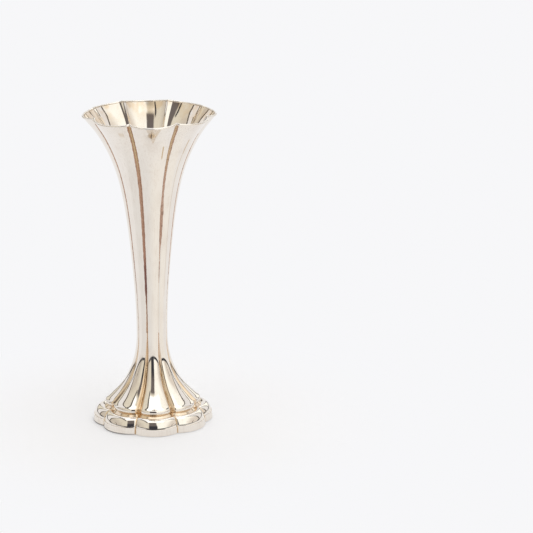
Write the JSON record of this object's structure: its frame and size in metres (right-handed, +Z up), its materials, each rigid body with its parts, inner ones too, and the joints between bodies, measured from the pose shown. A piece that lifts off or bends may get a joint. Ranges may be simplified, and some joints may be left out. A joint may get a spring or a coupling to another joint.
{
  "type": "trumpet vase",
  "caption": "Slender trumpet vase with a flared lobed mouth, a fluted stem, a petal foot and a stepped, weighted scalloped base.",
  "frame": {"origin": "on the vase's axis, in the plane that it stands on", "axes": "+Z up along the axis, towards the mouth; one of the eight lobes faces -Y"},
  "size_m": [0.0634, 0.0634, 0.1514],
  "materials": {
    "silver": "polished silver",
    "pitch": "cast pitch",
    "plate_steel": "plain",
    "baize": "wool baize"
  },
  "bodies": {
    "root": {"mouth_wire": "silver", "trumpet_half_right": "silver", "trumpet_half_left": "silver", "stem_cap": "silver", "foot_shell": "silver", "foot_loading": "pitch", "base_plate": "plate_steel", "baize_pad": "baize"}
  },
  "joints": []
}
